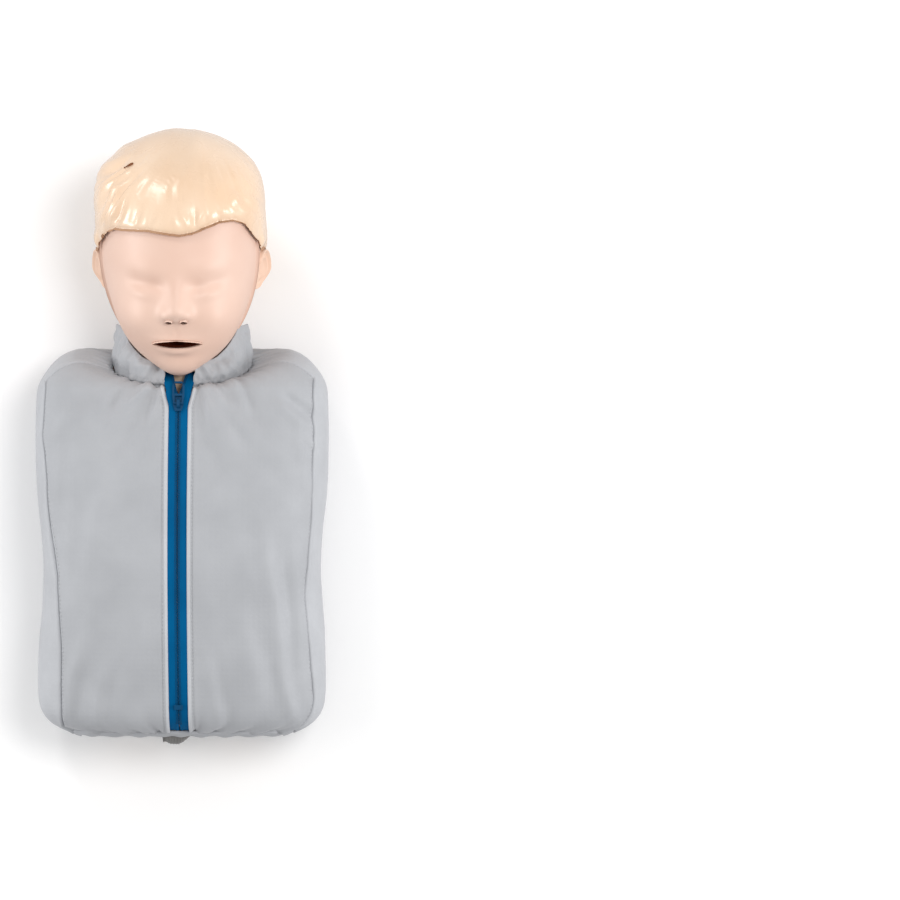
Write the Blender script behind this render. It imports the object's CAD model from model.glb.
# The looks of a training manikin: jacket cloth, moulded face and hair, and its zip.
# Lengths are in millimetres until a mesh is made. +Z is up, +Y is towards the crown, +X is right.
import math

import bmesh
import bpy
import numpy as np
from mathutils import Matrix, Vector


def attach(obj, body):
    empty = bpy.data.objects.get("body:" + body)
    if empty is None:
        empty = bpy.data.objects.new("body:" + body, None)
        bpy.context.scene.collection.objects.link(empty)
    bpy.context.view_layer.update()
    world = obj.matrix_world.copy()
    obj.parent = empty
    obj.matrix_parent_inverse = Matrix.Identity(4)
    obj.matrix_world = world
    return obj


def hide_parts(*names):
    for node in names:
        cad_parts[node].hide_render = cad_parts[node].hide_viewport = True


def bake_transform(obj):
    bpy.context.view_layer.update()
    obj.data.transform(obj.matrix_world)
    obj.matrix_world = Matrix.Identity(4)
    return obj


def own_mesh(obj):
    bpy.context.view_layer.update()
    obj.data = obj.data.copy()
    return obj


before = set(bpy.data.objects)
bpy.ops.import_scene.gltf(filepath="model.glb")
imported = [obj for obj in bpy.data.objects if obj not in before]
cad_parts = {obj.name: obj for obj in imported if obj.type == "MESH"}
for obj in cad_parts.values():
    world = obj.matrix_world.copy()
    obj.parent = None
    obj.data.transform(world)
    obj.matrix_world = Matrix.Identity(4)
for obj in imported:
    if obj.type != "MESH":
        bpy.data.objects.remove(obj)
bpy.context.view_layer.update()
MM = 0.001


# Numbers and splines.

def smooth(low, high, at):
    """0 below low, 1 above high, and a smooth rise between."""
    share = np.clip((at - low) / (high - low), 0.0, 1.0)
    return share * share * (3 - 2 * share)


def bell(at, width):
    """1 at 0, falling off over a width to either side."""
    return np.exp(-(at / width) ** 2)


def mound(x, y, centre_x, centre_y, size_x, size_y):
    """1 at a centre, falling off over an oval around it."""
    return np.exp(-((x - centre_x) / size_x) ** 2 - ((y - centre_y) / size_y) ** 2)


def noise(points, size, seed=0):
    """Smooth noise from -1 to 1 over points, with bumps of about the given size."""
    table = np.random.default_rng(seed).uniform(-1, 1, (32, 32, 32))
    at = np.asarray(points) / size
    cell = np.floor(at).astype(int)
    part = at - cell
    part = part * part * (3 - 2 * part)
    total = np.zeros(at.shape[:-1])
    for corner in np.ndindex(2, 2, 2):
        weight = np.prod(np.where(corner, part, 1 - part), -1)
        index = (cell + np.array(corner)) % 32
        total += weight * table[index[..., 0], index[..., 1], index[..., 2]]
    return total


def wrap_noise(at, seed):
    """Noise along one coordinate, whose bumps are one unit long."""
    points = np.stack([at, np.zeros_like(at) + 0.5, np.zeros_like(at) + 0.5], -1)
    return noise(points, 1.0, seed)


def clamped_rows(at, count):
    """Weights of a clamped cubic's poles at each place along it."""
    knots = np.concatenate([np.zeros(4), np.arange(1, count - 3), np.full(4, count - 3)])
    at = np.clip(at, 0, count - 3 - 1e-9)[:, None]
    basis = ((knots[:-1] <= at) & (at < knots[1:])).astype(float)
    for degree in (1, 2, 3):
        size = len(knots) - 1 - degree
        left = knots[degree:degree + size] - knots[:size]
        ends = knots[degree + 1:degree + 1 + size]
        right = ends - knots[1:1 + size]
        up = np.where(left > 0, (at - knots[:size]) / np.where(left > 0, left, 1), 0)
        down = np.where(right > 0, (ends - at) / np.where(right > 0, right, 1), 0)
        basis = up * basis[:, :size] + down * basis[:, 1:1 + size]
    return basis


def unit(vectors):
    return vectors / np.maximum(np.linalg.norm(vectors, axis=-1, keepdims=True), 1e-9)


def grid_normals(points):
    along = np.gradient(points, axis=0)
    across = np.gradient(points, axis=1)
    return unit(np.cross(across, along))


def arc_length(points, axis):
    step = np.linalg.norm(np.diff(points, axis=axis), axis=-1)
    shape = list(step.shape)
    shape[axis] = 1
    return np.concatenate([np.zeros(shape), np.cumsum(step, axis)], axis)


def on_line(at, run, line):
    """Places on a line, at distances along it; run has the distance of each of its own points."""
    return np.stack([np.interp(at, run, line[:, k]) for k in range(line.shape[1])], -1)


# Meshes.

SIDES = (("right", 1.0), ("left", -1.0))


def mirrored(points, sign):
    return points * np.array([sign, 1.0, 1.0])


def add_to_scene(name, data):
    item = bpy.data.objects.new(name, data)
    bpy.context.scene.collection.objects.link(item)
    return item


def new_object(name, points, faces, material, body=None):
    mesh = bpy.data.meshes.new(name)
    mesh.from_pydata((np.asarray(points) * MM).tolist(), [], faces)
    mesh.validate()
    mesh.update()
    for polygon in mesh.polygons:
        polygon.use_smooth = True
    mesh.materials.append(material)
    item = add_to_scene(name, mesh)
    if body:
        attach(item, body)
    return item


def grid_faces(rows, columns, closed=False):
    index = np.arange(rows * columns).reshape(rows, columns)
    if closed:
        index = np.concatenate([index, index[:, :1]], axis=1)
    quads = np.stack([index[:-1, :-1], index[:-1, 1:], index[1:, 1:], index[1:, :-1]], -1)
    return quads.reshape(-1, 4)


def grid_object(name, points, material, body=None, slot=None, closed=False, flip=False):
    faces = grid_faces(*points.shape[:2], closed)
    if flip:
        faces = faces[:, ::-1]
    return new_object(name, points.reshape(-1, 3), faces.tolist(), material, body)


def thicken(item, thickness, offset=-1.0):
    made = item.modifiers.new("Thickness", "SOLIDIFY")
    made.thickness = thickness * MM
    made.offset = offset
    made.use_rim = True
    made.use_rim_only = True
    made.use_quality_normals = True


def merge(item, distance):
    """Joins points closer than a distance, which removes the slivers that clipping leaves."""
    work = bmesh.new()
    work.from_mesh(item.data)
    bmesh.ops.remove_doubles(work, verts=work.verts, dist=distance * MM)
    work.to_mesh(item.data)
    work.free()
    for polygon in item.data.polygons:
        polygon.use_smooth = True


def clipped(points, faces, value):
    """The part of a mesh of quads where a value at its points is above 0, with a clean edge."""
    triangles = np.concatenate([faces[:, [0, 1, 2]], faces[:, [0, 2, 3]]])
    inside = value > 0
    count = inside[triangles].sum(1)
    kept = triangles[count == 3]
    new_points, new_faces, made = [], [], {}
    base = len(points)

    def crossing(a, b):
        key = (min(a, b), max(a, b))
        if key not in made:
            share = value[a] / (value[a] - value[b])
            made[key] = base + len(new_points)
            new_points.append(points[a] + (points[b] - points[a]) * share)
        return made[key]

    for triangle in triangles[(count == 1) | (count == 2)]:
        ring = []
        for number in range(3):
            a, b = triangle[number], triangle[(number + 1) % 3]
            if inside[a]:
                ring.append(int(a))
            if inside[a] != inside[b]:
                ring.append(crossing(int(a), int(b)))
        new_faces.append(ring)
    every = np.concatenate([points, np.array(new_points).reshape(-1, 3)])
    faces = kept.tolist() + new_faces
    used = np.zeros(len(every), bool)
    for face in faces:
        used[face] = True
    number = np.cumsum(used) - 1
    return every[used], [[int(number[i]) for i in face] for face in faces]


# Materials.

def linear(red, green, blue):
    """A colour given as 0 to 255 in sRGB."""
    values = []
    for part in (red, green, blue):
        part = part / 255
        values.append(part / 12.92 if part <= 0.04045 else ((part + 0.055) / 1.055) ** 2.4)
    return (*values, 1.0)


class Shader:
    """A small wrapper that keeps a material's nodes short to write."""

    def __init__(self, name, roughness, metallic=0.0, specular=0.5):
        self.material = bpy.data.materials.new(name)
        self.material.use_nodes = True
        self.tree = self.material.node_tree
        self.surface = self.tree.nodes["Principled BSDF"]
        self.feed(self.surface, {"Roughness": roughness, "Metallic": metallic,
                                 "Specular IOR Level": specular})
        self.place = self.add("ShaderNodeTexCoord", {}, "Object")
        self.bump = None

    def feed(self, node, sockets):
        """Gives each socket its value, or a link where another node's output is given."""
        for name, value in sockets.items():
            if isinstance(value, bpy.types.NodeSocket):
                self.tree.links.new(value, node.inputs[name])
            else:
                node.inputs[name].default_value = value

    def add(self, kind, sockets, output=0, **settings):
        made = self.tree.nodes.new(kind)
        for name, value in settings.items():
            setattr(made, name, value)
        self.feed(made, sockets)
        return made.outputs[output]

    def noise(self, scale, detail):
        sockets = {"Scale": scale, "Detail": detail, "Vector": self.place}
        return self.add("ShaderNodeTexNoise", sockets, "Fac")

    def wave(self, scale, direction):
        sockets = {"Scale": scale, "Distortion": 0.4, "Vector": self.place}
        return self.add("ShaderNodeTexWave", sockets, "Fac", wave_type="BANDS", bands_direction=direction)

    def tones(self, fac, *stops):
        """A colour that goes from one tone to another; each has its place and its colour."""
        made = self.tree.nodes.new("ShaderNodeValToRGB")
        for element, (position, colour) in zip(made.color_ramp.elements, stops):
            element.position = position
            element.color = linear(*colour)
        self.feed(made, {"Fac": fac})
        return made.outputs["Color"]

    def rough(self, fac, low, high):
        made = self.add("ShaderNodeMapRange", {"Value": fac, "To Min": low, "To Max": high}, "Result")
        self.feed(self.surface, {"Roughness": made})

    def raise_by(self, height, distance, strength):
        """Adds one more layer of bump; distance is in metres."""
        sockets = {"Strength": strength, "Distance": distance, "Height": height}
        if self.bump is not None:
            sockets["Normal"] = self.bump
        self.bump = self.add("ShaderNodeBump", sockets, "Normal")
        self.feed(self.surface, {"Normal": self.bump})


def cloth_material(name, main, shade, pitch=0.0007, sheen=0.2, specular=0.3):
    """Cloth in two close tones. A wave of its weave is 2 pi times pitch long, in metres."""
    made = Shader(name, 0.72, specular=specular)
    scale = 1 / (20 * pitch)
    weave = made.add("ShaderNodeMath", {0: made.wave(scale, "X"), 1: made.wave(scale, "Y")},
                     operation="MULTIPLY")
    made.raise_by(made.noise(90.0, 5.0), 0.0006, 0.35)
    made.raise_by(weave, 0.00012, 0.6)
    made.rough(made.noise(300.0, 2.0), 0.62, 0.82)
    made.feed(made.surface, {
        "Base Color": made.tones(made.noise(26.0, 4.0), (0.3, shade), (0.7, main)),
        "Sheen Weight": sheen, "Sheen Roughness": 0.4,
    })
    return made.material


def moulded_material(name, main, shade, rough, grain=0.00006, coat=0.0, metallic=0.0, specular=0.5):
    """Plastic or metal in two close tones, with a fine grain whose height is in metres."""
    made = Shader(name, rough, metallic, specular)
    made.rough(made.noise(60.0, 4.0), rough * 0.85, min(rough * 1.2, 1.0))
    made.raise_by(made.noise(900.0, 3.0), grain, 0.5)
    tones = made.tones(made.noise(18.0, 3.0), (0.32, shade), (0.68, main))
    made.feed(made.surface, {"Base Color": tones})
    if coat:
        made.feed(made.surface, {"Coat Weight": coat, "Coat Roughness": 0.22})
    return made.material


JACKET = cloth_material("JacketCloth", (175, 177, 181), (167, 169, 173))
SIDE_CLOTH = cloth_material("JacketSideCloth", (185, 187, 191), (177, 179, 183))
WELT = cloth_material("JacketWelt", (194, 196, 200), (186, 188, 192))
TAPE = cloth_material("ZipTape", (0, 98, 151), (0, 88, 139), 0.0009, sheen=0.0, specular=0.05)
STRAP = cloth_material("StrapWebbing", (130, 129, 128), (106, 104, 102), 0.0016)
THREAD = moulded_material("Thread", (178, 180, 184), (166, 168, 172), 0.7)
SKIN = moulded_material("FaceSkin", (229, 197, 180), (224, 189, 171), 0.46, 0.00005)
NECK_SKIN = moulded_material("NeckSkin", (246, 216, 190), (238, 205, 176), 0.5)
HAIR = moulded_material("Hair", (239, 212, 185), (231, 199, 168), 0.27, 0.000008, coat=0.45)
HAIR_EDGE = moulded_material("HairEdge", (186, 146, 114), (166, 122, 90), 0.5)
NICK = moulded_material("HairNick", (150, 92, 48), (118, 66, 30), 0.5)
EAR_SKIN = moulded_material("EarSkin", (238, 208, 187), (230, 193, 169), 0.4)
MOUTH = moulded_material("MouthInside", (104, 44, 20), (78, 28, 10), 0.8, specular=0.08)
ZIP_METAL = moulded_material("ZipMetal", (0, 74, 114), (0, 60, 97), 0.42, 0.00003, specular=0.2)
TEETH = moulded_material("ZipTeeth", (0, 74, 116), (0, 60, 98), 0.5, specular=0.15)
CHEST = moulded_material("ChestSkin", (236, 205, 184), (228, 192, 168), 0.5)
FILM = moulded_material("LungFilm", (226, 230, 234), (212, 217, 222), 0.25)
RIB = moulded_material("RibPlastic", (232, 230, 222), (222, 219, 210), 0.45)
SHELL = moulded_material("ShellPlastic", (222, 186, 158), (210, 172, 144), 0.5)
DARK = moulded_material("MechanismPlastic", (74, 77, 82), (62, 65, 70), 0.45)
CLEAR = moulded_material("ClearTube", (214, 222, 230), (202, 212, 222), 0.2)
STEEL = moulded_material("ZincSteel", (176, 178, 182), (156, 158, 163), 0.34, metallic=1.0)
SPRING = moulded_material("SpringSteel", (150, 152, 156), (128, 130, 134), 0.3, metallic=1.0)

NODE_MATERIALS = {
    "back_shell": SHELL, "guide_tube": DARK, "guide_screws": STEEL, "neck_bracket": DARK,
    "bracket_screws": STEEL, "neck": NECK_SKIN, "airway_tube": CLEAR,
    "chest_skin": CHEST, "lung_bag": FILM, "rib_cage": RIB, "plunger": DARK, "plunger_screws": STEEL,
    "compression_spring": SPRING, "face_frame": MOUTH, "mouth_adapter": MOUTH, "neck_pivot_pins": STEEL,
    "zip_slider": ZIP_METAL, "zip_pull": ZIP_METAL, "zip_bottom_stop": ZIP_METAL,
}
for node_name, node_material in NODE_MATERIALS.items():
    node_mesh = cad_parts[node_name].data
    node_mesh.materials.clear()
    node_mesh.materials.append(node_material)


# The torso's form, drawn on the same poles as its solids.

RING = 24
HEM_STEPS, BELLY_STEPS, SHOULDER_STEPS = 3, 10, 5
TURNS = 2 * np.pi * np.arange(RING) / RING
HEM_START, HEM_ROLL = -224.0, 26.0
HIP_HALF, WAIST_HALF, CHEST_HALF, WAIST_Y = 120.5, 116.0, 122.0, -120.0
THICKNESS, ARC_RADIUS, ARC_CROWN_Y = 150.0, 390.0, -100.0
WIDEST_Z, BACK_DIP = 62.0, 0.8
SHOULDER_Y, SHOULDER_LIFT, SHOULDER_BEND = 34.0, 16.0, 2.4
NECK_HALF_WIDTH, NECK_HALF_HEIGHT = 58.0, 46.0
NECKLINE_Y, NECKLINE_Z, NECKLINE_SLOPE = 55.0, 73.0, 0.37


def half_width(y):
    low = HIP_HALF + (WAIST_HALF - HIP_HALF) * smooth(-200.0, WAIST_Y, y)
    high = WAIST_HALF + (CHEST_HALF - WAIST_HALF) * smooth(WAIST_Y, -15.0, y)
    return np.where(y < WAIST_Y, low, high)


def front_z(y):
    return THICKNESS - ARC_RADIUS + np.sqrt(ARC_RADIUS ** 2 - (y - ARC_CROWN_Y) ** 2)


def neckline_y(z):
    return NECKLINE_Y - NECKLINE_SLOPE * (z - NECKLINE_Z)


def section(y, inset=0.0):
    """X and Z around the torso: a rounded oval that is squarer at the back than in front."""
    across, up = np.cos(TURNS), np.sin(TURNS)
    upper = up >= 0
    rise = np.where(upper, front_z(y) - WIDEST_Z - inset, WIDEST_Z + BACK_DIP - 0.35 * inset)
    bend = np.where(upper, 3.0, 4.0)
    reach = (np.abs(across) ** bend + np.abs(up) ** bend) ** (-1 / bend)
    return (half_width(y) - inset) * reach * across, WIDEST_Z + rise * reach * up


def torso_poles():
    """The surface's poles, ring by ring: the hem's roll, the belly and the shoulders."""
    rings = []
    for step in range(HEM_STEPS, 0, -1):
        angle = math.radians(90) * step / HEM_STEPS
        x, z = section(HEM_START, HEM_ROLL * (1 - math.cos(angle)))
        rings.append(np.stack([x, np.full(RING, HEM_START - HEM_ROLL * math.sin(angle)), z], -1))
    for y in [HEM_START + (SHOULDER_Y - HEM_START) * step / BELLY_STEPS for step in range(BELLY_STEPS + 1)]:
        x, z = section(y)
        rings.append(np.stack([x, np.full(RING, y), z], -1))
    full_x, full_z = section(SHOULDER_Y)
    neck_x = NECK_HALF_WIDTH * np.cos(TURNS)
    neck_z = NECKLINE_Z + NECK_HALF_HEIGHT * np.sin(TURNS)
    for step in range(1, SHOULDER_STEPS + 1):
        share = step / SHOULDER_STEPS
        angle = math.radians(90) * share
        keep = math.cos(angle) ** (2 / SHOULDER_BEND) if step < SHOULDER_STEPS else 0.0
        reach = math.sin(angle) ** (2 / SHOULDER_BEND)
        y = SHOULDER_Y + (neckline_y(neck_z) - SHOULDER_Y) * reach
        y += SHOULDER_LIFT * math.sin(math.pi * share ** 2) * np.cos(TURNS) ** 2
        rings.append(np.stack([neck_x + (full_x - neck_x) * keep, y, neck_z + (full_z - neck_z) * keep], -1))
    rings = np.array(rings)
    poles = rings - (np.roll(rings, 1, 1) + np.roll(rings, -1, 1) - 2 * rings) / 6
    even = poles.copy()
    for number in range(HEM_STEPS + 1, HEM_STEPS + BELLY_STEPS):
        even[number] = poles[number] - (poles[number - 1] + poles[number + 1] - 2 * poles[number]) / 6
    return even


POLES = torso_poles()


def torso_at(rows, turns):
    """Points of the jacket's outer face; turns has one list of places for each row."""
    rings = np.tensordot(clamped_rows(rows, len(POLES)), POLES, 1)
    cell = np.floor(turns).astype(int)
    t = (turns - cell)[..., None]
    weights = ((1 - t) ** 3, 3 * t ** 3 - 6 * t ** 2 + 4, -3 * t ** 3 + 3 * t ** 2 + 3 * t + 1, t ** 3)
    total = 0
    line = np.arange(len(rows))[:, None]
    for step, weight in enumerate(weights):
        total = total + weight / 6 * rings[line, (cell + step - 1) % RING]
    return total


BACK_SEAM_Z = 30.0
SEAM_PLACES = {
    "right": ([-224.0, -182.0, -120.0, -60.0, 0.0, 30.0], [112.0, 109.0, 105.0, 109.5, 112.5, 111.0]),
    "left": ([-224.0, -182.0, -120.0, -60.0, 0.0, 30.0], [98.0, 97.5, 101.0, 108.0, 113.5, 113.0]),
}


def inner_x(y):
    """Edge of a front beside the zip, opening in a vee at the throat."""
    return 7.9 + 0.22 * np.maximum(y - 20.0, 0.0) * smooth(16.0, 30.0, y)


# Rows of the panels, in rings from the hem, and places between side and front on each row.
ROWS = np.concatenate([np.linspace(0, 2.2, 26), np.linspace(2.27, 12.0, 140), np.linspace(12.05, 16, 54)])
SPAN = np.linspace(0.0, 6.0, 241)
IN_BELLY = ROWS <= 11.4
QUARTER = torso_at(ROWS, np.tile(SPAN, (len(ROWS), 1)))


def place_on_rows(gap_of):
    """For each row, the place between side and top where a gap falls to 0."""
    found = []
    for row in QUARTER:
        gap = gap_of(row)
        above = np.nonzero(gap > 0)[0]
        last = above[-1] if len(above) else 0
        if last + 1 < len(SPAN):
            share = np.clip(gap[last] / max(gap[last] - gap[last + 1], 1e-9), 0, 1)
            found.append(SPAN[last] + (SPAN[last + 1] - SPAN[last]) * share)
        else:
            found.append(SPAN[-1])
    return np.array(found)


def front_seam(side):
    """Where the seam between a front and a side panel is, on each row."""
    places = SEAM_PLACES[side]

    def gap_of(row):
        share = 0.93 + 0.035 * smooth(30.0, 44.0, row[:, 1].max())
        return row[:, 0] - np.minimum(np.interp(row[:, 1], *places), share * row[:, 0].max())

    return place_on_rows(gap_of)


def back_seam():
    """Where the seam between a side panel and the back is, on each row."""
    lower = torso_at(ROWS, np.tile(-SPAN, (len(ROWS), 1)))
    seam = []
    for row in lower:
        reaches = row[:, 2].min() < BACK_SEAM_Z
        seam.append(np.interp(-BACK_SEAM_Z, -row[:, 2], -SPAN) if reaches else -1.6)
    seam = np.array(seam)
    seam[~IN_BELLY] = seam[IN_BELLY][-1]
    return seam


FRONT_EDGE = place_on_rows(lambda row: row[:, 0] - inner_x(row[:, 1]))
FRONT_SEAM = {side: front_seam(side) for side in SEAM_PLACES}
BACK_SEAM = back_seam()


# Folds of the jacket, as ridges over its plan: from, to, width, height.

FOLDS = (
    (72, -92, 86, -184, 7.0, 2.4), (90, -104, 95, -190, 5.0, -1.7), (50, -146, 66, -216, 9.0, 1.9),
    (34, -56, 58, -128, 13.0, 1.2), (-58, -116, -84, -200, 10.0, 1.6), (-32, -146, -40, -224, 9.0, 1.3),
    (-76, -56, -92, -132, 9.0, -1.2), (84, 22, 107, 4, 5.0, 2.2), (90, 30, 112, 14, 4.0, -1.6),
    (-86, 18, -112, -8, 7.0, 1.5), (-34, 30, -66, -2, 8.0, 2.4), (-26, 26, -44, -18, 6.0, -1.6),
    (26, 26, 46, -16, 7.0, 2.0), (34, 30, 64, -4, 7.0, 1.8), (62, -16, 96, -52, 9.0, -1.2),
    (17, 14, 34, -34, 6.0, -1.3), (-17, 14, -36, -36, 6.0, -1.4), (100, 4, 108, -66, 5.0, 1.4),
    (-100, -16, -106, -96, 5.0, 1.2), (24, -186, 32, -240, 6.0, 1.6), (-60, -196, -68, -240, 6.0, 1.6),
    (84, -192, 94, -238, 6.0, 1.9), (-84, -190, -94, -236, 6.0, 1.6), (12, -60, 26, -180, 10.0, 1.0),
    (-14, -40, -24, -160, 10.0, -0.9), (-110, -60, -104, -130, 4.5, 2.2),
    (-106, -120, -112, -176, 5.0, -1.9), (-22, 42, -42, 22, 3.2, 2.2), (-17, 38, -25, 12, 2.6, -1.9),
    (-46, 44, -60, 20, 4.0, 1.9),
    (23, 42, 37, 24, 3.2, 2.0), (44, 44, 56, 18, 4.0, 2.0), (18, 36, 24, 10, 2.6, -1.6),
    (110, -70, 105, -128, 4.5, 2.0), (106, -126, 113, -176, 5.0, -1.7), (112, -12, 104, -4, 3.0, 1.6),
)


def fold_height(points):
    total = np.zeros(points.shape[:-1])
    x, y = points[..., 0], points[..., 1]
    for x0, y0, x1, y1, width, height in FOLDS:
        length = math.hypot(x1 - x0, y1 - y0)
        ux, uy = (x1 - x0) / length, (y1 - y0) / length
        along = (x - x0) * ux + (y - y0) * uy
        side = -(x - x0) * uy + (y - y0) * ux + 0.12 * width * np.sin(along / 11.0)
        fade = smooth(-0.35 * length, 0.25 * length, along) * (1 - smooth(0.7 * length, 1.3 * length, along))
        total += height * fade * (bell(side, width) - 0.55 * bell(side - 1.5 * width, width))
    return total * smooth(30.0, 62.0, points[..., 2])


def gathers(along_edge, from_edge, pitch, depth, reach, seed):
    """Small folds that start at a gathered edge and die out away from it."""
    wander = 0.7 * wrap_noise(along_edge / (3 * pitch), seed)
    ridge = np.cos(2 * np.pi * (along_edge / pitch + wander))
    uneven = 0.55 + 0.45 * wrap_noise(along_edge / (1.7 * pitch), seed + 1)
    fading = reach * (0.7 + 0.5 * wrap_noise(along_edge / (2.2 * pitch), seed + 2))
    return depth * uneven * ridge * np.exp(-(from_edge / fading))


TORSO_MIDDLE = np.array([0.0, -100.0, 70.0])


def dressed(points, seams=(True, True), welt=False):
    """A panel's points moved in and out: seams, gathers at hem and neck, folds and a soft wobble.

    A seam is a groove with a low swell beside it. The welt runs along the last column."""
    normals = grid_normals(points)
    if (normals * (points - TORSO_MIDDLE)).sum() < 0:
        normals = -normals
    across = arc_length(points, 1)
    along = arc_length(points, 0)
    from_end = across[:, -1:] - across
    from_neck = along[-1:, :] - along
    around = np.arctan2((points[..., 2] - 66.0) * 1.4, points[..., 0]) * 100.0
    height = fold_height(points) * smooth(2.0, 14.0, along)
    height += 0.8 * noise(points, 52.0, 3) + 0.3 * noise(points, 19.0, 4)
    height += gathers(around, along, 13.0, 1.5, 13.0, 11)
    height += gathers(around + 40, along, 27.0, 1.9, 34.0, 21)
    height += gathers(around, from_neck, 7.5, 1.4, 10.0, 31)
    height += gathers(around + 17, from_neck, 15.0, 1.8, 24.0, 41)
    for away, sewn in zip((across, from_end), seams):
        if sewn:
            pucker = 0.35 * wrap_noise(along / 5.0, 51) * np.exp(-away / 7.0)
            height += pucker - 1.5 * bell(away, 1.1) + 0.35 * bell(away - 3.4, 2.0)
    if welt:
        height += 0.5 * bell(from_end - 2.2, 1.6) - 0.55 * bell(from_end - 4.6, 0.55)
        height += 0.3 * bell(from_end - 6.4, 1.4) - 0.9 * bell(from_end, 0.7)
    height *= smooth(-0.5, 12.0, points[..., 2])
    return points + normals * height[..., None], normals


def panel_grid(start, end, columns):
    share = np.linspace(0, 1, columns)[None, :]
    return torso_at(ROWS, start[:, None] + (end - start)[:, None] * share)


# Where cloth and tapes stay with the torso and where they sink with the chest, in metres.
CLOTH_THICKNESS = 1.3
WELT_COLUMNS = 3


def torso_sheet(name, node, points, material, thickness, held, rests_on, offset=-1.0,
                slot="jacket_cloth", **form):
    """A sheet that lies on the torso and stands for a node's solid."""
    item = grid_object(name, points, material, "torso", slot, **form)
    thicken(item, thickness, offset)
    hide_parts(node)


def stitches(name, paths, body=None):
    """Short raised stitches along paths, each given as points and their normals."""
    length, pitch, radius, sides = 2.2, 3.3, 0.28, 6
    ends_at = np.array([-1, -0.5, 0.5, 1]) * length / 2
    ring = np.linspace(0, 2 * np.pi, sides + 1)[:-1, None]
    walls = grid_faces(len(ends_at), sides, True)
    caps = [list(range(sides - 1, -1, -1)), list(range(3 * sides, 4 * sides))]
    points, faces = [], []
    for path, normals in paths:
        run = arc_length(path, 0)
        for place in np.arange(pitch, run[-1] - pitch, pitch):
            ends = on_line(place + ends_at, run, path)
            normal = unit(on_line(place, run, normals))
            side = np.cross(unit(ends[-1] - ends[0]), normal)
            base = len(points)
            for end, scale, lift in zip(ends, (0.25, 1.0, 1.0, 0.25), (-0.12, 0.1, 0.1, -0.12)):
                shift = (side * np.cos(ring) + normal * np.sin(ring)) * radius * scale
                points.extend(end + shift + normal * lift)
            faces.extend((walls + base).tolist() + [[base + k for k in cap] for cap in caps])
    return new_object(name, points, faces, THREAD, body)


def line_across(points, normals, away, from_end):
    """The line at a distance from a panel's first or last column, and its normals."""
    across = arc_length(points, 1)
    if from_end:
        across = across[:, -1:] - across
        points, normals, across = points[:, ::-1], normals[:, ::-1], across[:, ::-1]
    return [np.array([on_line(away, row, line) for row, line in zip(across, lines)])
            for lines in (points, normals)]


def make_fronts():
    for side, sign in SIDES:
        points = mirrored(panel_grid(FRONT_SEAM[side], FRONT_EDGE, 116), sign)
        shaped, normals = dressed(points, (True, False), welt=True)
        item = grid_object(f"cloth_front_{side}", shaped, JACKET, slot="jacket_cloth", flip=sign > 0)
        item.data.materials.append(WELT)
        column = np.tile(np.arange(shaped.shape[1] - 1), shaped.shape[0] - 1)
        is_welt = (column >= shaped.shape[1] - 1 - WELT_COLUMNS).astype(int)
        item.data.polygons.foreach_set("material_index", is_welt.tolist())
        thicken(item, CLOTH_THICKNESS)
        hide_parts(f"jacket_front_{side}")
        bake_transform(item)
        lines = [line_across(shaped, normals, 4.9, True), line_across(shaped, normals, 3.4, False)]
        inner = slice(5, -3)
        seam = stitches(f"stitches_front_{side}", [(p[inner], n[inner]) for p, n in lines])
        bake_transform(seam)


def make_sides_and_back():
    for side, sign in SIDES:
        shaped, _ = dressed(mirrored(panel_grid(BACK_SEAM, FRONT_SEAM[side], 66), sign))
        torso_sheet(f"cloth_side_{side}", f"jacket_side_{side}", shaped, SIDE_CLOTH, CLOTH_THICKNESS,
                    "stretched", ["back_shell"], flip=sign > 0)
    shaped, _ = dressed(panel_grid(12.0 - BACK_SEAM, 24.0 + BACK_SEAM, 130))
    shaped[..., 2] = np.maximum(shaped[..., 2], 0.02)
    torso_sheet("cloth_back", "jacket_back", shaped, JACKET, CLOTH_THICKNESS, "stretched",
                ["back_shell"], flip=True)


# The head, in its own frame: x across, up to the crown, ahead to the face, from the tilt axis.

PIVOT = np.array([0.0, 139.5, 84.5])
FLEX = math.radians(22.0)
LEAN = np.array([
    (1.0, 0.0, 0.0), (0.0, math.cos(FLEX), math.sin(FLEX)), (0.0, -math.sin(FLEX), math.cos(FLEX)),
])
CRANIUM = ((0.0, 20.0, -2.0), (67.0, 93.0, 86.0))
JAW = ((0.0, -17.0, 34.0), (51.0, 57.0, 54.0))
NAPE_LIMIT, CROWN_LIMIT = 80.0, 1.3 * 113.0


def to_row_frame(local):
    return local @ LEAN + PIVOT


def from_row_frame(points):
    return (points - PIVOT) @ LEAN.T


def ray_length(direction, centre, semi):
    """How far a ray from the tilt axis runs to an ellipsoid."""
    semi, centre = np.array(semi), np.array(centre)
    a = ((direction / semi) ** 2).sum(-1)
    b = (direction * centre / semi ** 2).sum(-1)
    c = ((centre / semi) ** 2).sum() - 1
    return (b + np.sqrt(b * b - a * c)) / a


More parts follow.
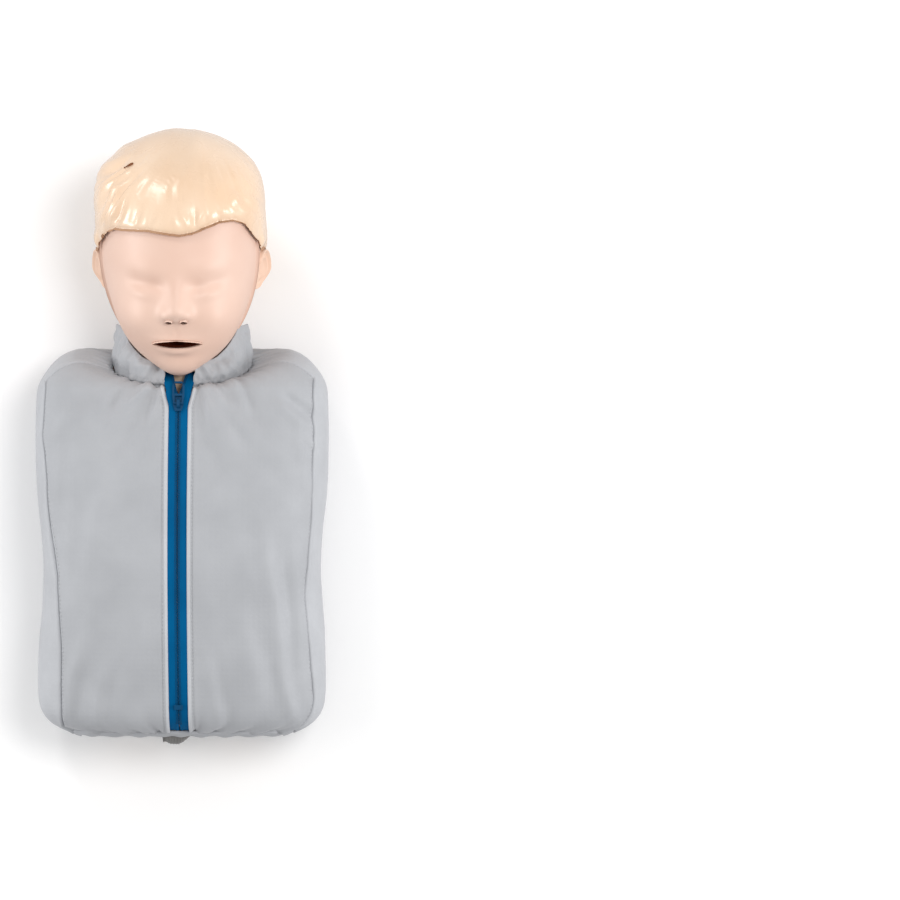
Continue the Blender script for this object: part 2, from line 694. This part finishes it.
# Height, place across and up, size across and up. A place beside the middle has a twin.
FACE_BUMPS = (
    (9.0, 0.0, -62.0, 17.0, 13.0), (3.0, 0.0, -38.0, 20.0, 10.0), (10.0, 0.0, -5.0, 8.5, 9.5),
    (4.4, 9.2, -9.5, 5.2, 6.0), (3.6, 0.0, 9.0, 8.0, 10.0), (1.2, 0.0, -14.0, 3.4, 4.6),
    (-3.1, 16.5, 12.0, 7.5, 6.5), (-1.9, 30.0, 13.5, 10.5, 6.0), (1.5, 27.0, 4.5, 9.5, 5.0),
    (3.8, 32.0, -17.0, 16.0, 15.0), (1.8, 25.0, 27.0, 18.0, 9.0), (-1.0, 0.0, -26.5, 2.8, 4.5),
    (1.0, 0.0, -32.0, 15.0, 2.4), (1.2, 0.0, -43.0, 12.0, 3.0), (-1.4, 0.0, -50.0, 12.0, 3.8),
)


def base_reach(direction):
    """Distance from the tilt axis to the skin, without the small features."""
    up, ahead = direction[..., 1], direction[..., 2]
    reach = (ray_length(direction, *CRANIUM) ** 12 + ray_length(direction, *JAW) ** 12) ** (1 / 12)
    rise = np.degrees(np.arctan2(up, -ahead))
    limit = NAPE_LIMIT + (CROWN_LIMIT - NAPE_LIMIT) * smooth(38.0, 80.0, rise)
    limit += np.where(rise < -40, 60.0 * smooth(40.0, 75.0, -rise), 0.0)
    blend = (reach ** -14.0 + limit ** -14.0) ** (-1 / 14)
    return reach + np.where(ahead < 0, (blend - reach) * smooth(0.0, 0.35, -ahead), 0.0)


def spread(up):
    """How much wider the head is than its ellipsoids, at a height."""
    return 1 + 0.26 * smooth(30.0, 101.0, up) * (1 - 0.85 * smooth(93.0, 118.0, up))


def skin_points(direction):
    """Points of the bare head along directions."""
    reach = base_reach(direction)
    across, high = direction[..., 0] * reach, direction[..., 1] * reach
    weight = smooth(0.2, 0.6, direction[..., 2])
    for height, place_x, place_y, size_x, size_y in FACE_BUMPS:
        for x in sorted({place_x, -place_x}, reverse=True):
            reach = reach + weight * height * mound(across, high, x, place_y, size_x, size_y)
    points = direction * reach[..., None]
    points[..., 0] *= spread(points[..., 1])
    return points


FACE_OUTLINE = np.array([
    (-72.0, 14.0), (-66.5, 26.0), (-62.0, 36.0), (-57.0, 46.5), (-50.5, 52.5), (-40.0, 55.5),
    (-22.0, 58.2), (-8.0, 57.0), (4.0, 55.8), (14.0, 57.0), (24.0, 60.0), (35.0, 62.3), (46.0, 60.5),
    (54.5, 54.5), (59.0, 45.0), (62.5, 36.0), (67.0, 26.0), (72.0, 14.0), (72.0, -140.0), (-72.0, -140.0),
])
SIDE_OUTLINE = np.array([
    (60.0, 31.0), (23.0, 31.0), (19.5, 23.0), (15.0, 21.0), (9.0, 21.0), (1.0, 19.0), (-9.0, 12.0),
    (-14.0, -8.0), (-24.0, -34.0), (-44.0, -48.0), (-95.0, -58.0), (-95.0, -140.0), (60.0, -140.0),
])


def outline_gap(flat, corners):
    """Distance to a closed outline, negative inside it."""
    best = np.full(flat.shape[:-1], 1e9)
    inside = np.zeros(flat.shape[:-1], bool)
    for a, b in zip(corners, np.roll(corners, -1, 0)):
        edge = b - a
        share = np.clip(((flat - a) @ edge) / (edge @ edge), 0, 1)
        best = np.minimum(best, np.linalg.norm(flat - (a + share[..., None] * edge), axis=-1))
        crosses = (a[1] > flat[..., 1]) != (b[1] > flat[..., 1])
        rise = b[1] - a[1] if b[1] != a[1] else 1.0
        inside ^= crosses & (flat[..., 0] < a[0] + (flat[..., 1] - a[1]) / rise * edge[0])
    return np.where(inside, -best, best)


def from_hairline(points):
    """How far a point of the head is inside the hair; negative where skin shows."""
    share = smooth(18.0, 25.0, points[..., 2])
    return outline_gap(points[..., [0, 1]], FACE_OUTLINE) * share + \
        outline_gap(points[..., [2, 1]], SIDE_OUTLINE) * (1 - share)


NECK_LEAN, NECK_ROOM = (-25.0, 15.0), 34.2


def neck_gap(points):
    """Distance from the room that the neck takes inside the head, over the whole tilt."""
    x, up, ahead = points[..., 0], points[..., 1], points[..., 2]
    nearest = np.radians(np.clip(np.degrees(np.arctan2(ahead, -up)), *NECK_LEAN))
    along = -up * np.cos(nearest) + ahead * np.sin(nearest)
    off = np.abs(up * np.sin(nearest) + ahead * np.cos(nearest))
    gap = np.hypot(x, off) - NECK_ROOM
    return np.where(along > 0, gap, np.hypot(gap, along) + 5.0)


def directions_to(points):
    """The directions whose skin points lie on rays through points of the head."""
    ray = points.copy()
    ray[..., 0] /= spread(ray[..., 1])
    return unit(ray)


def skin_under(local):
    """Distance from the tilt axis to the bare head, along rays through points near it."""
    return np.linalg.norm(skin_points(directions_to(local)), axis=-1)


def head_gap(points):
    local = from_row_frame(points)
    return np.linalg.norm(local, axis=-1) - skin_under(local)


def face_depth(x, up):
    """How far the skin is ahead of the tilt axis at places on the face."""
    ahead = np.full(np.shape(x), 85.0)
    for _ in range(16):
        reach = skin_under(np.stack([x + 0 * ahead, up + 0 * ahead, ahead], -1))
        ahead = np.sqrt(np.maximum(reach ** 2 - x ** 2 - up ** 2, 1.0))
    return ahead


COLLAR_HALF_WIDTH, COLLAR_HALF_HEIGHT = 56.8, 44.8
COLLAR_TOP = ([27, 52, 73, 98, 112, 119], [82.0, 87.0, 91.0, 76.0, 61.0, 56.0])
COLLAR_GAP = 0.2
FROM_JAW = 1.5


def make_collar():
    """The gathered stand-up collar, round the neck and against the jaw in front."""
    columns, rows = 420, 44
    turn = np.linspace(math.pi / 2 + COLLAR_GAP, math.pi / 2 + 2 * math.pi - COLLAR_GAP, columns)[None, :]
    rise = np.linspace(-0.06, 1.0, rows)[:, None]
    x = COLLAR_HALF_WIDTH * np.cos(turn)
    z = NECKLINE_Z + COLLAR_HALF_HEIGHT * np.sin(turn)
    foot = np.stack([x, neckline_y(z), z], -1)
    top = np.stack([x * 0.985, np.interp(z, *COLLAR_TOP), NECKLINE_Z + (z - NECKLINE_Z) * 0.985], -1)
    chin = to_row_frame(np.array(JAW[0]))
    shares = np.linspace(0.0, 0.6, 121)[:, None, None]
    close = head_gap(top + (chin - top) * shares) < FROM_JAW
    share = np.where(close.any(0), shares[np.argmax(close, 0), 0, 0], 0.0)[..., None]
    top = top + (chin - top) * share * smooth(70.0, 84.0, z)[..., None]
    shift = rise[..., None]
    points = foot + (top - foot) * shift
    points = points + np.array([0.0, -3.0, 0.0]) * (1 - np.clip(shift, 0, 1))
    out = unit(np.stack([np.cos(turn), 0 * turn, np.sin(turn)], -1))
    points = points + out * (2.0 * np.sin(np.pi * np.clip(rise, 0, 1)))[..., None]
    in_front = points[..., 2] > NECKLINE_Z
    edge = 9.8 + 0.24 * np.maximum(points[..., 1] - 26.0, 0.0)
    near = smooth(0.0, 26.0, 30.0 - np.abs(points[..., 0])) * in_front
    points[..., 0] += np.sign(points[..., 0]) * np.maximum(edge - np.abs(points[..., 0]), 0.0) * near
    normals = grid_normals(points)
    if (normals[..., 0] * points[..., 0]).sum() < 0:
        normals = -normals
    up = arc_length(points, 0)
    slanted = points + np.array([0.5, 0.0, 0.0]) * points[..., 1:2] * np.sign(points[..., :1])
    crumple = 2.6 * noise(slanted * np.array([1.0, 0.55, 1.0]), 9.0, 61)
    crumple += 1.3 * noise(slanted * np.array([1.0, 0.75, 1.0]), 4.6, 62)
    crumple += 2.2 * (0.3 - np.abs(noise(slanted * np.array([1.0, 0.45, 1.0]), 11.0, 63)))
    crumple += 1.4 * (0.3 - np.abs(noise(slanted * np.array([1.0, 0.60, 1.0]), 6.5, 64)))
    pleat = gathers(arc_length(points, 1), up, 8.0, 1.2, 9.0, 71)
    seam = -1.0 * bell(up - 3.4, 0.8) + 0.5 * bell(up - 6.0, 1.6)
    crumple = crumple * (1 + 0.6 * smooth(62.0, 24.0, np.abs(points[..., 0])) * in_front)
    height = (crumple * (0.35 + 0.65 * rise) + pleat) * (1 - 0.8 * smooth(0.75, 1.0, rise)) + seam
    points = points + normals * height[..., None]
    torso_sheet("cloth_collar", "jacket_collar", points, JACKET, 1.2, "gathered",
                ["cloth_front_right", "cloth_front_left"], flip=True)
    row = int(np.argmin(np.abs(up[:, columns // 2] - 5.2)))
    line = slice(4, -4)
    stitches("stitches_collar", [(points[row][line], normals[row][line])], "torso")


def make_hem():
    """The elastic band that draws the hem in."""
    columns, rows = 520, 16
    turns = np.linspace(0, RING, columns, endpoint=False)
    ring = torso_at(np.array([0.02]), turns[None, :])[0]
    outward = ring - np.array([0.0, 0.0, WIDEST_Z])
    outward[:, 1] = 0
    outward = unit(outward)
    around = arc_length(ring, 0)
    wave = np.cos(2 * np.pi * (around / 21.0 + 0.8 * wrap_noise(around / 27.0, 81)))
    uneven = 0.55 + 0.6 * wrap_noise(around / 24.0, 82)
    points = []
    for share in np.linspace(0, 1, rows):
        inset = 1.2 - 1.2 * math.sin(math.pi * share) + 8.0 * share ** 2
        lift = (0.5 + 1.1 * math.sin(math.pi * min(share * 1.2, 1.0))) * wave * uneven
        line = ring + outward * (lift - inset)[:, None]
        line[:, 1] = -248.6 - 4.6 * share + 0.9 * wave * uneven * share
        line[:, 2] = np.maximum(line[:, 2], 0.4)
        points.append(line)
    torso_sheet("cloth_hem", "hem_band", np.array(points), JACKET, 1.4, "gathered", ["cloth_back"],
                offset=0.0, closed=True)


# The zip.

def part_x(y):
    """Half the gap between the two halves of the zip, which part above the slider."""
    return 0.28 + 0.27 * np.maximum(y - 29.0, 0.0) * smooth(28.0, 36.0, y)


def zip_line(depth):
    """The zip's path in side view under the jacket's front, from the hem to the chin."""
    place = np.linspace(0.0, 11.9, 200)
    centre = torso_at(place, np.full((200, 1), 6.0))[:, 0, 1:]
    way = unit(np.gradient(centre, axis=0))
    centre = centre - np.stack([-way[:, 1], way[:, 0]], -1) * depth
    centre = centre[centre[:, 0] < 28.0]
    y = np.linspace(29.0, 50.5, 28)
    throat = np.stack([y, front_z(y) - depth - 0.028 * np.maximum(y - 30.0, 0.0) ** 2], -1)
    path = np.concatenate([centre, throat])
    return arc_length(path, 0), path


def along_path(run, path, at):
    """Points on a path in side view, and the directions along and across it."""
    way = unit(on_line(at + 0.6, run, path) - on_line(at - 0.6, run, path))
    return on_line(at, run, path), way, np.stack([-way[..., 1], way[..., 0]], -1)


TOOTH_PITCH, TOOTH_LENGTH, TOOTH_HALF = 1.45, 2.3, 0.42
TOOTH_LEVELS = ((-0.1, 1.0), (0.62, 1.0), (0.78, 0.72))
TOOTH_CORNERS = ((0, -1), (1, -1), (1, 1), (0, 1))


def make_teeth(side, sign, run, path):
    """A row of teeth, each a block with a smaller top; the two rows are set in turn."""
    sides = np.concatenate([grid_faces(3, 4, True), [[8, 9, 10, 11]]])[:, ::int(sign)]
    corners, faces = [], []
    places = np.arange(16.0, run[-1] - 1.0, TOOTH_PITCH) + 0.36 * -sign
    for middle, way, normal in zip(*along_path(run, path, places)):
        left = float(part_x(middle[0])) - 0.25
        faces.extend((sides + len(corners)).tolist())
        for rise, shrink in TOOTH_LEVELS:
            for dx, dy in TOOTH_CORNERS:
                spot = middle + way * dy * TOOTH_HALF * shrink + normal * rise
                reach = left + TOOTH_LENGTH / 2 + (dx - 0.5) * TOOTH_LENGTH * shrink
                corners.append((sign * reach, *spot))
    row = new_object(f"teeth_{side}", corners, faces, TEETH)
    for polygon in row.data.polygons:
        polygon.use_smooth = False
    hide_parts(f"zip_teeth_{side}")
    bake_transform(row)


def make_zip():
    """Both tapes, which are narrower where the collar's foot covers them, and their teeth."""
    run, path = zip_line(2.0)
    centre, _, out = along_path(run, path, np.linspace(1.0, run[-1], 430))
    width = np.concatenate([np.linspace(0, 3.2, 12), np.linspace(3.6, 11.6, 14)])[None, :]
    y = centre[:, :1] + 0 * width
    narrow = 1 - 0.25 * smooth(31.0, 35.0, y) * (1 - smooth(42.0, 47.0, y))
    x = part_x(y) + width * narrow
    lift = 0.42 * bell(width - 1.4, 1.1) - 0.35 * bell(width, 0.35)
    lift = lift + 0.10 * noise(np.stack([x, y, 0 * x], -1), 9.0, 91)
    tape = np.stack([x, y + out[:, :1] * lift, centre[:, 1:] + out[:, 1:] * lift], -1)
    for side, sign in SIDES:
        points = mirrored(tape, sign)
        item = grid_object(f"tape_{side}", points, TAPE, slot="zip_tape", flip=sign < 0)
        thicken(item, 0.7)
        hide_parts(f"zip_tape_{side}")
        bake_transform(item)
        make_teeth(side, sign, run, path)


STRAP_PATH = np.array([
    (-243.0, 98.5), (-250.0, 98.0), (-257.0, 96.0), (-261.6, 90.0), (-262.6, 80.0), (-262.4, 55.0),
    (-262.6, 30.0), (-261.0, 19.0), (-256.0, 13.5), (-249.0, 11.5), (-243.0, 11.0),
])
STRAP_X, STRAP_HALF = 0.5, 16.0


def make_strap():
    """The elastic strap that joins the hem's front and back, with its long ribs."""
    rows, columns = 120, 96
    line = on_line(np.linspace(0, len(STRAP_PATH) - 1, rows), np.arange(len(STRAP_PATH)), STRAP_PATH)
    for _ in range(30):
        line[1:-1] = (line[:-2] + 2 * line[1:-1] + line[2:]) / 4
    way = unit(np.gradient(line, axis=0))
    out = np.stack([way[:, 1], -way[:, 0]], -1)
    across = np.linspace(-1, 1, columns)[None, :]
    middle = np.sin(np.linspace(0, math.pi, rows))[:, None]
    rib = 0.16 * np.cos(across * math.pi * 13) - 0.3 * smooth(0.93, 1.0, np.abs(across))
    lift = rib - 0.8 * across ** 2 * middle
    x = STRAP_X + STRAP_HALF * across * (1 - 0.05 * middle)
    reach = 1 - 0.62 * smooth(-0.25, 1.1, across) - 0.10 * smooth(-0.6, -1.0, across)
    hem = STRAP_PATH[0, 0]
    y = hem + (line[:, :1] + out[:, :1] * lift - hem) * reach
    points = np.stack([x, y, line[:, 1:] + out[:, 1:] * lift], -1)
    torso_sheet("strap", "hem_strap", points, STRAP, 1.4, "stretched", ["cloth_hem"], offset=1.0,
                slot="strap_webbing")


# Hair, face and ears.

COMB_X, COMB_Y = 14.0, 140.0
CURL_X, CURL_Y = 46.0, 50.0
HAIR_EDGE_AT = -1.2


def hair_relief(points):
    """Locks and strands combed out from beyond the crown, smooth on top and deeper at the edges."""
    x, up, ahead = points[..., 0], points[..., 1], points[..., 2]
    plan_y = up * math.cos(FLEX) - ahead * math.sin(FLEX)
    away = np.hypot(x - COMB_X, plan_y - COMB_Y)
    turn = np.arctan2(plan_y - COMB_Y, x - COMB_X) + 0.05 * noise(points, 26.0, 105)

    def strands(count, length, seed):
        """Noise drawn out along the combing, with bumps of a length."""
        return noise(np.stack([np.cos(turn) * count, np.sin(turn) * count, away / length], -1), 1.0, seed)

    edge = from_hairline(points)
    grow = smooth(52.0, 96.0, away + 0.35 * np.abs(x - COMB_X)) * (0.45 + 0.55 * smooth(-10.0, -60.0, x))
    grow = np.maximum(grow, 0.75 * smooth(26.0, 8.0, edge))
    ridge = 1 - 2.4 * np.abs(strands(23.0, 30.0, 102))
    thin = 1 - 2.4 * np.abs(strands(34.0, 20.0, 103))
    relief = 1.6 * strands(4.0, 60.0, 101) * (0.35 + 0.65 * grow)
    deep = 1.25 + 1.3 * smooth(-20.0, -42.0, x) * smooth(-64.0, -54.0, x) * smooth(88.0, 66.0, plan_y)
    deep = deep - 0.8 * np.maximum(smooth(60.0, 70.0, np.abs(x)), smooth(82.0, 98.0, plan_y))
    relief += (deep * ridge + 0.3 * thin) * grow + 0.5 * noise(points, 34.0, 104)
    curl = np.hypot(x - CURL_X, (plan_y - CURL_Y) * 0.8)
    relief += 1.1 * np.cos(curl / 2.6) * bell(curl, 11.0)
    return relief * smooth(-1.5, 6.0, edge)


def hair_points(direction):
    skin = skin_points(direction)
    edge = from_hairline(skin)
    rim = np.clip((edge - HAIR_EDGE_AT) / 9.0, 0.0, 1.0)
    front = smooth(20.0, 55.0, skin[..., 2])
    thick = 1.7 + (3.7 + 1.0 * front) * np.sqrt(np.clip(1 - (1 - rim) ** 2, 0, 1))
    share = smooth(-0.75, -0.25, direction[..., 1] - 0.9 * np.maximum(direction[..., 2], 0.0))
    crown = 1.8 * smooth(0.80, 0.96, direction[..., 1])
    lift = (thick + hair_relief(skin) - crown) * share - 0.35
    return skin * (1 + lift / np.linalg.norm(skin, axis=-1))[..., None], edge


def round_grid(rows, columns):
    """Directions from the back of the head forwards."""
    from_back = np.radians(np.linspace(0.4, 152.0, rows))[:, None]
    around = np.linspace(0, 2 * np.pi, columns, endpoint=False)[None, :]
    return np.stack([
        np.sin(from_back) * np.sin(around), np.sin(from_back) * np.cos(around),
        -np.cos(from_back) + 0 * around,
    ], -1)


def head_shell(name, points, value, material, join, thickness, closed=True):
    """A shell on the head over a grid of its points, cut to where a value is above 0."""
    grid = grid_faces(*points.shape[:2], closed)
    kept, faces = clipped(points.reshape(-1, 3), grid, value.reshape(-1))
    if not closed:
        faces = [face[::-1] for face in faces]
    item = new_object(name, to_row_frame(kept), faces, material, "head")
    merge(item, join)
    thicken(item, thickness)
    return item


def make_hair():
    """The moulded hair, whose thick edge over the forehead has a darker rim."""
    points, edge = hair_points(round_grid(240, 380))
    value = np.minimum(edge - HAIR_EDGE_AT, neck_gap(points))
    item = head_shell("hair_cap", points, value, HAIR, 0.4, 2.6)
    item.data.materials.append(HAIR_EDGE)
    item.modifiers[-1].material_offset_rim = 1
    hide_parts("skull_shell")


def make_head_side():
    """The skin between the face's edge, the ears and the nape."""
    points = skin_points(round_grid(170, 280))
    value = np.minimum(np.minimum(2.6 - from_hairline(points), 21.9 - points[..., 2]), neck_gap(points))
    head_shell("head_side", points, value, SKIN, 0.4, 2.2)


def make_hair_nick():
    """A small moulding mark in the hair, drawn as a tapered sliver with a dark bottom."""
    along = np.linspace(-1, 1, 25)[:, None]
    across = np.linspace(-1, 1, 9)[None, :]
    half = 1.15 * (1 - along ** 2) ** 0.7 * (0.55 + 0.45 * along)
    slope = math.radians(27)
    x = -39.5 + 4.2 * along * math.cos(slope) - half * across * math.sin(slope)
    plan_y = 80.0 + 4.2 * along * math.sin(slope) + half * across * math.cos(slope)
    height = np.full(x.shape, 60.0)
    for _ in range(24):
        local = from_row_frame(np.stack([x, plan_y + PIVOT[1], height + PIVOT[2]], -1))
        reach = np.linalg.norm(hair_points(directions_to(local))[0], axis=-1)
        height = np.sqrt(np.maximum(reach ** 2 - x ** 2 - plan_y ** 2, 1.0))
    points = np.stack([x, plan_y + PIVOT[1], height + PIVOT[2] + 0.35], -1)
    item = grid_object("hair_nick", points, NICK, "head", "hair_plastic")
    thicken(item, 0.8)


def mouth_line(x):
    return -36.6 - 0.0040 * x * x


MOUTH_HALF = 20.6
NOSTRILS = ((5.9, -15.0), (-5.9, -15.0))
NOSTRIL_HALF_WIDTH, NOSTRIL_HALF_HEIGHT = 3.1, 2.1


def make_face():
    """The soft face: plain closed eyes, a plain nose, and the mouth's slit."""
    side = np.linspace(-1, 1, 300)
    across = np.radians(80.0) * np.sign(side) * np.abs(side) ** 1.2
    rise = np.radians(np.concatenate([np.linspace(-84, -52, 32), np.linspace(-51.2, 12, 150),
                                      np.linspace(12.6, 46, 54)]))
    across, rise = across[None, :], rise[:, None]
    direction = np.stack([
        np.cos(rise) * np.sin(across), np.sin(rise) + 0 * across, np.cos(rise) * np.cos(across)
    ], -1)
    points = skin_points(direction)
    x, up = points[..., 0], points[..., 1]
    open_by = 3.5 * np.clip(1 - (x / MOUTH_HALF) ** 2, 0, 1) ** 0.75
    from_slit = np.abs(up - mouth_line(x)) - open_by
    beyond = np.hypot(np.abs(x) - MOUTH_HALF, up - mouth_line(x))
    from_slit = np.where(np.abs(x) > MOUTH_HALF, beyond, from_slit)
    inward = -0.35 * bell(np.clip(from_slit, 0, None), 0.9)
    holes = from_slit
    for centre_x, centre_up in NOSTRILS:
        hole = np.hypot((x - centre_x) / NOSTRIL_HALF_WIDTH, (up - centre_up) / NOSTRIL_HALF_HEIGHT)
        hole = (hole - 1.0) * NOSTRIL_HALF_HEIGHT
        inward = inward - 0.2 * bell(np.clip(hole, 0, None), 0.9)
        holes = np.minimum(holes, hole)
    points = points + direction * inward[..., None]
    value = np.minimum(np.minimum(2.6 - from_hairline(points), neck_gap(points)), holes)
    value = np.minimum(value, points[..., 2] - 22.2)
    item = head_shell("face_skin", points, value, SKIN, 0.15, 1.8, closed=False)
    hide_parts("face_mask")


def make_mouth_lining():
    """The mouth's inner wall, which closes towards the airway behind it."""
    turn = np.linspace(0, 2 * np.pi, 96, endpoint=False)
    rings = []
    for share in np.linspace(0, 1, 14):
        wide = MOUTH_HALF - 0.1 + (4.0 - MOUTH_HALF) * share ** 1.3
        high = 3.45 + 0.6 * share
        x = wide * np.cos(turn)
        lift = high * np.sign(np.sin(turn)) * np.abs(np.sin(turn)) ** (1.5 - 0.5 * share)
        up = mouth_line(x) * (1 - share) - 37.6 * share + lift
        ahead = (face_depth(x, up) - 0.25) * (1 - share) + 74.0 * share
        rings.append(np.stack([x, up, ahead], -1))
    rings.append(np.stack([0.05 * rings[-1][:, 0], -37.6 + 0 * turn, 73.0 + 0 * turn], -1))
    wall = to_row_frame(np.array(rings))
    item = grid_object("mouth_lining", wall, MOUTH, "head", "face_skin", closed=True)
    thicken(item, 0.6)


def make_nostrils():
    """Small dark cups behind the nostrils."""
    turn = np.linspace(0, 2 * np.pi, 40, endpoint=False)
    for (name, _), (centre_x, centre_up) in zip(SIDES, NOSTRILS):
        rings = []
        for share in (0.0, 0.3, 0.6, 0.85, 1.0):
            size = 0.99 - 0.94 * share ** 3
            x = centre_x + NOSTRIL_HALF_WIDTH * size * np.cos(turn)
            up = centre_up + NOSTRIL_HALF_HEIGHT * size * np.sin(turn)
            ahead = face_depth(x, up) - 0.1 - 5.0 * share
            rings.append(np.stack([x, up + 2.5 * share, ahead], -1))
        cup = to_row_frame(np.array(rings))
        grid_object(f"nostril_{name}", cup, MOUTH, "head", "face_skin", closed=True)


def make_ears():
    """Plain ears: a rim round the back and top, an inner fold, a hollow, a tragus and a lobe."""
    rows, columns = 44, 96
    out = np.linspace(0, 1, rows)[:, None]
    turn = np.linspace(0, 2 * np.pi, columns, endpoint=False)[None, :]
    narrow = np.maximum(-np.sin(turn), 0)
    up = 20.5 * (1 - 0.14 * narrow) * np.sin(turn) * out
    back = 11.8 * (1 - 0.26 * narrow) * np.cos(turn) * out
    behind = np.cos(turn) + 0.7 * np.sin(turn)
    rim = bell(out - 0.88, 0.10) * smooth(-1.0, -0.2, behind)
    fold = bell(out - 0.60, 0.11) * smooth(-0.2, 0.5, behind)
    hollow = mound(back, up, -1.5, -2.0, 4.6, 8.0)
    tragus = mound(back, up, -7.6, -2.5, 2.4, 3.6)
    lobe = mound(back, up, -1.0, -15.0, 5.0, 4.0)
    height = 4.6 * rim + 2.6 * fold - 5.4 * hollow + 2.4 * tragus + 2.6 * lobe
    height = height * (1 - smooth(0.93, 1.0, out)) - 9.5 * smooth(0.92, 1.0, out)
    lean = 0.36 * (back + 11.0)
    tuck = 9.0 * smooth(0.0, 21.0, -up)
    for side, sign in SIDES:
        local = np.stack([sign * (63.8 + 0.8 * height + lean - tuck), -4.0 + up, 2.0 - back], -1)
        item = grid_object(f"ear_{side}", to_row_frame(local), EAR_SKIN, "head", "hair_plastic",
                           closed=True, flip=sign < 0)
        smoother = item.modifiers.new("Round", "SUBSURF")
        smoother.levels = smoother.render_levels = 1


make_fronts()
make_sides_and_back()
make_collar()
make_hem()
make_zip()
make_strap()
make_hair()
make_head_side()
make_hair_nick()
make_face()
make_mouth_lining()
make_nostrils()
make_ears()
for detail, width in (("zip_slider", 0.25), ("zip_pull", 0.3)):
    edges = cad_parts[detail].modifiers.new("Edges", "BEVEL")
    edges.width = width * MM
    edges.segments = 2
    edges.limit_method = "ANGLE"
    edges.angle_limit = math.radians(40)


# Floor, lights and camera.

FLOOR_SIZE, FLOOR_Z = 8.0, -0.0008
WORLD_STRENGTH = 0.57
PIXELS, PER_PIXEL = 900, 0.8374 * MM
ORIGIN_PIXEL = (181.5, 432.5)
CAMERA_DISTANCE, FOCUS_Z = 4.2, 0.08
SENSOR = 36.0

# Name, place, what it points at, size, power and colour.
LIGHTS = (
    ("key", (0.8, 0.4, 2.3), (0, 0, 0.08), 0.9, 19.0, (1.0, 0.99, 0.98)),
    ("left", (-2.1, -0.1, 0.7), (0, 0, 0.08), 0.9, 20.0, (1, 1, 1)),
    ("right", (2.1, -0.2, 0.7), (0, 0, 0.08), 0.9, 19.5, (1, 1, 1)),
    ("crown", (-0.7, 1.7, 1.5), (0, 0.2, 0.1), 0.6, 9.0, (1, 1, 1)),
)


def make_stage():
    """A white floor that throws a little less light on the part than the camera sees."""
    corners = np.array([(-1, -1, 0), (1, -1, 0), (1, 1, 0), (-1, 1, 0)]) * FLOOR_SIZE / MM
    made = Shader("Floor", 0.9, specular=0.1)
    seen = made.add("ShaderNodeLightPath", {}, "Is Camera Ray")
    tint = made.tones(made.noise(0.7, 2.0), (0.3, (252, 252, 253)), (0.7, (255, 255, 255)))
    sockets = {0: seen, 6: linear(214, 214, 216), 7: tint}
    made.feed(made.surface, {"Base Color": made.add("ShaderNodeMix", sockets, 2, data_type="RGBA")})
    floor = new_object("floor", corners, [[0, 1, 2, 3]], made.material)
    floor.location.z = FLOOR_Z


def make_lights():
    world = bpy.data.worlds.new("Studio")
    bpy.context.scene.world = world
    world.use_nodes = True
    background = world.node_tree.nodes["Background"].inputs
    background["Color"].default_value = (1.0, 1.0, 1.0, 1.0)
    background["Strength"].default_value = WORLD_STRENGTH
    for name, place, aim, size, power, colour in LIGHTS:
        light = bpy.data.lights.new(name, "AREA")
        light.shape = "DISK"
        light.size = size
        light.energy = power
        light.color = colour
        item = add_to_scene(name, light)
        item.location = place
        item.rotation_euler = (Vector(aim) - Vector(place)).to_track_quat("-Z", "Y").to_euler()
        item.visible_camera = False


def make_camera():
    """Straight down, with the photo's pixels and scale at the height FOCUS_Z."""
    camera = bpy.data.cameras.new("camera")
    camera.sensor_width = SENSOR
    camera.lens = SENSOR * CAMERA_DISTANCE / (PIXELS * PER_PIXEL)
    camera.clip_start, camera.clip_end = 0.1, 50.0
    item = add_to_scene("camera", camera)
    item.location = ((PIXELS / 2 - ORIGIN_PIXEL[0]) * PER_PIXEL, (ORIGIN_PIXEL[1] - PIXELS / 2) * PER_PIXEL,
                     CAMERA_DISTANCE + FOCUS_Z)
    item.rotation_euler = (0, 0, 0)
    bpy.context.scene.camera = item


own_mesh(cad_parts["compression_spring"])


make_stage()
make_lights()
make_camera()
bpy.context.scene.view_settings.view_transform = "Standard"
